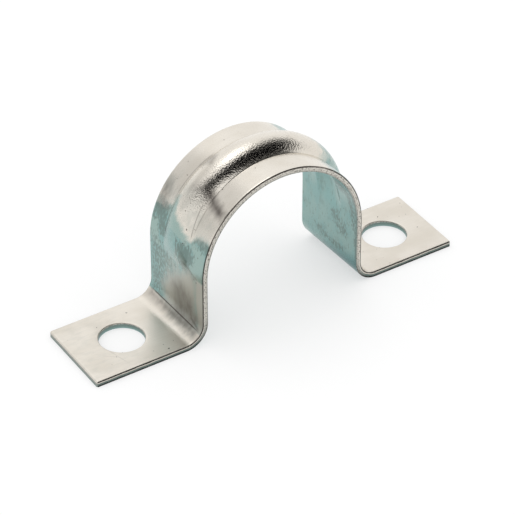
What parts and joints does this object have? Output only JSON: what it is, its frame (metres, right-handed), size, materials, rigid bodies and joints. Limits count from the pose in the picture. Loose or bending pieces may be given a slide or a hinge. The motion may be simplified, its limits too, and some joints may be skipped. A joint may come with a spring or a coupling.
{
  "type": "conduit strap",
  "caption": "Saddle-shaped conduit strap folded from one strip of zinc-plated sheet steel, with a stiffening bead over the arch and a round fixing hole in each flat foot.",
  "frame": {"origin": "midway between the two fixing holes, on the face that lies against the wall, under the crown of the arch", "axes": "+X along the strip from foot to foot, +Y across the strip and along the conduit, +Z away from the wall through the crown"},
  "size_m": [0.0843, 0.019, 0.0358],
  "materials": {
    "zinc_plated_steel": "bright zinc plate, warm grey on the worn top faces, with a pale blue-green film on the upright ones"
  },
  "bodies": {
    "root": {"strap": "zinc_plated_steel"}
  },
  "joints": []
}
